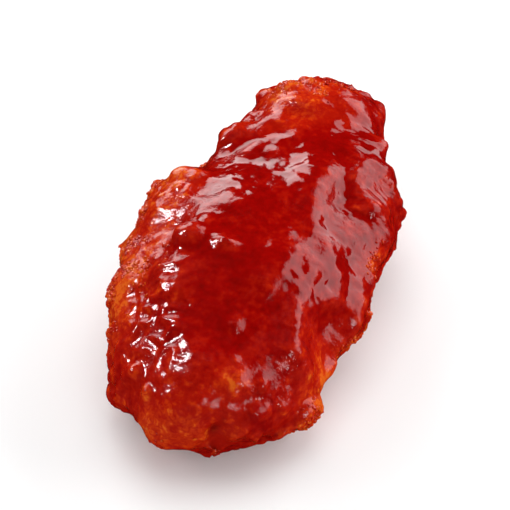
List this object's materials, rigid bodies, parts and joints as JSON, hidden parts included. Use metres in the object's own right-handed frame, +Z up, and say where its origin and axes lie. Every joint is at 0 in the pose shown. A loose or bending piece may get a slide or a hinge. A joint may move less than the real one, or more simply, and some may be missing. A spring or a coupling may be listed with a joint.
{
  "type": "chicken wing",
  "caption": "Breaded chicken wing section in a thick glossy red sauce, lying on its flatter side: a broad meaty body, a waist and a knuckle end under a lumpy crust.",
  "frame": {"origin": "centre of the box's underside, on the surface that the wing rests on", "axes": "+Y along the wing from its broad end to its knuckle end, +X across it, +Z up from the surface that it rests on"},
  "size_m": [0.0474, 0.09, 0.03],
  "materials": {
    "sauced_crust": "wet, glossy deep red sauce over an orange-brown fried crust"
  },
  "bodies": {
    "root": {"wing": "sauced_crust"}
  },
  "joints": []
}
